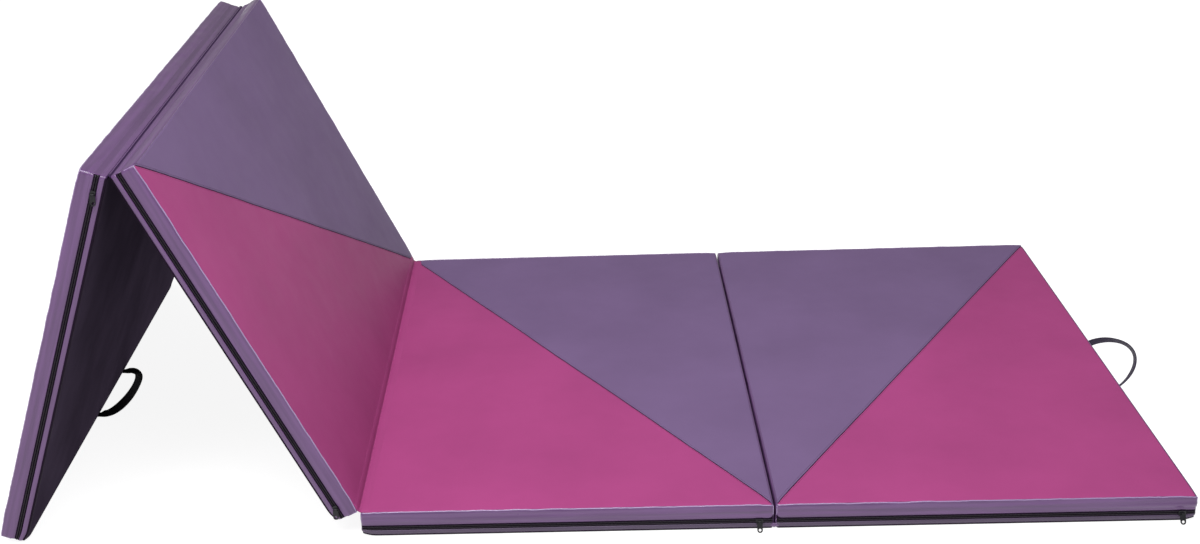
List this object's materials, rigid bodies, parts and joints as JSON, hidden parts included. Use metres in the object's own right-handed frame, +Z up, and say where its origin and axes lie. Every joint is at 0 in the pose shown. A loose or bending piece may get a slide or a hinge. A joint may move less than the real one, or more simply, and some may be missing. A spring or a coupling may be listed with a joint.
{
  "type": "folding gym mat",
  "caption": "Long folding tumbling mat with thick padded panels, two-colour vinyl triangles on top, zipped sides and webbing carry handles.",
  "frame": {"origin": "on the floor, below the middle of the mat's length and width as it stands", "axes": "+X along the mat from panel 1 to panel 4, +Y away from the zippers, +Z up"},
  "size_m": [2.2772, 1.2339, 0.737],
  "materials": {
    "foam": "closed-cell foam core, inside the cover",
    "vinyl_pink": "raspberry pink coated vinyl, fine grain, satin",
    "vinyl_purple": "dusty purple coated vinyl, fine grain, satin",
    "vinyl_black": "black coated vinyl, fine grain, dull",
    "zipper_tape": "woven black tape",
    "zipper_teeth": "black moulded coil",
    "zipper_metal": "dark gunmetal plating",
    "webbing": "dark woven webbing"
  },
  "bodies": {
    "panel_1": {"panel_1_foam": "foam", "panel_1_top_pink": "vinyl_pink", "panel_1_top_purple": "vinyl_purple", "panel_1_border": "vinyl_purple", "panel_1_lower_band": "vinyl_purple", "panel_1_underside": "vinyl_black", "panel_1_zipper_tape": "zipper_tape", "panel_1_zipper_teeth": "zipper_teeth", "handle_left_patches": "vinyl_purple"},
    "panel_2": {"panel_2_foam": "foam", "panel_2_top_pink": "vinyl_pink", "panel_2_top_purple": "vinyl_purple", "panel_2_border": "vinyl_purple", "panel_2_lower_band": "vinyl_purple", "panel_2_underside": "vinyl_black", "panel_2_zipper_tape": "zipper_tape", "panel_2_zipper_teeth": "zipper_teeth", "hinge_welt_1_2": "vinyl_purple"},
    "panel_3": {"panel_3_foam": "foam", "panel_3_top_pink": "vinyl_pink", "panel_3_top_purple": "vinyl_purple", "panel_3_border": "vinyl_purple", "panel_3_lower_band": "vinyl_purple", "panel_3_underside": "vinyl_black", "panel_3_zipper_tape": "zipper_tape", "panel_3_zipper_teeth": "zipper_teeth", "hinge_welt_2_3": "vinyl_pink", "hinge_welt_3_4": "vinyl_purple"},
    "panel_4": {"panel_4_foam": "foam", "panel_4_top_pink": "vinyl_pink", "panel_4_top_purple": "vinyl_purple", "panel_4_border": "vinyl_purple", "panel_4_lower_band": "vinyl_purple", "panel_4_underside": "vinyl_black", "panel_4_zipper_tape": "zipper_tape", "panel_4_zipper_teeth": "zipper_teeth", "handle_right_patches": "vinyl_purple"},
    "slider_1": {"panel_1_zipper_slider": "zipper_metal"},
    "slider_2": {"panel_2_zipper_slider": "zipper_metal"},
    "slider_3": {"panel_3_zipper_slider": "zipper_metal"},
    "slider_4": {"panel_4_zipper_slider": "zipper_metal"},
    "pull_1": {"panel_1_zipper_pull": "zipper_metal"},
    "pull_2": {"panel_2_zipper_pull": "zipper_metal"},
    "pull_3": {"panel_3_zipper_pull": "zipper_metal"},
    "pull_4": {"panel_4_zipper_pull": "zipper_metal"},
    "handle_left": {"handle_left_loop": "webbing"},
    "handle_right": {"handle_right_loop": "webbing"}
  },
  "joints": [
    {"name": "fold_1_2", "type": "hinge", "parent": "panel_2", "child": "panel_1", "pos_m": [-0.83799, 0, 0.71681], "axis": [0, -1, 0], "range_deg": [-135.09, 43.91], "deforming": ["handle_left_loop"]},
    {"name": "fold_2_3", "type": "hinge", "parent": "panel_3", "child": "panel_2", "pos_m": [-0.46391, 0, 0.051], "axis": [0, 1, 0], "range_deg": [-64.5, 114.5]},
    {"name": "fold_3_4", "type": "hinge", "parent": "panel_3", "child": "panel_4", "pos_m": [0.29809, 0, 0], "axis": [0, 1, 0], "range_deg": [0, 179]},
    {"name": "zip_1", "type": "slide", "parent": "panel_1", "child": "slider_1", "axis": [-0.3323, 0, -0.9432], "range_m": [0, 0.7]},
    {"name": "zip_2", "type": "slide", "parent": "panel_2", "child": "slider_2", "axis": [-0.4305, 0, 0.9026], "range_m": [0, 0.71]},
    {"name": "zip_3", "type": "slide", "parent": "panel_3", "child": "slider_3", "axis": [-1, 0, 0], "range_m": [0, 0.71]},
    {"name": "zip_4", "type": "slide", "parent": "panel_4", "child": "slider_4", "axis": [-1, 0, 0], "range_m": [0, 0.71]},
    {"name": "pull_swing_1", "type": "hinge", "parent": "slider_1", "child": "pull_1", "pos_m": [-0.86783, -0.6138, 0.68704], "axis": [-1, 0, 0], "range_deg": [-6, 154]},
    {"name": "pull_swing_2", "type": "hinge", "parent": "slider_2", "child": "pull_2", "pos_m": [-0.50552, -0.6138, 0.06217], "axis": [-1, 0, 0], "range_deg": [-6, 154]},
    {"name": "pull_swing_3", "type": "hinge", "parent": "slider_3", "child": "pull_3", "pos_m": [0.27009, -0.6138, 0.01825], "axis": [-1, 0, 0], "range_deg": [-28, 140]},
    {"name": "pull_swing_4", "type": "hinge", "parent": "slider_4", "child": "pull_4", "pos_m": [1.03209, -0.6138, 0.01825], "axis": [-1, 0, 0], "range_deg": [-28, 140]},
    {"name": "handle_right_swing", "type": "hinge", "parent": "panel_4", "child": "handle_right", "pos_m": [1.05489, 0, 0.0008], "axis": [0, -1, 0], "range_deg": [-173, 13]},
    {"name": "handle_left_swing", "type": "hinge", "parent": "panel_1", "child": "handle_left", "pos_m": [-1.09022, 0, 0.00328], "axis": [0, 1, 0], "range_deg": [-11, 175]}
  ]
}
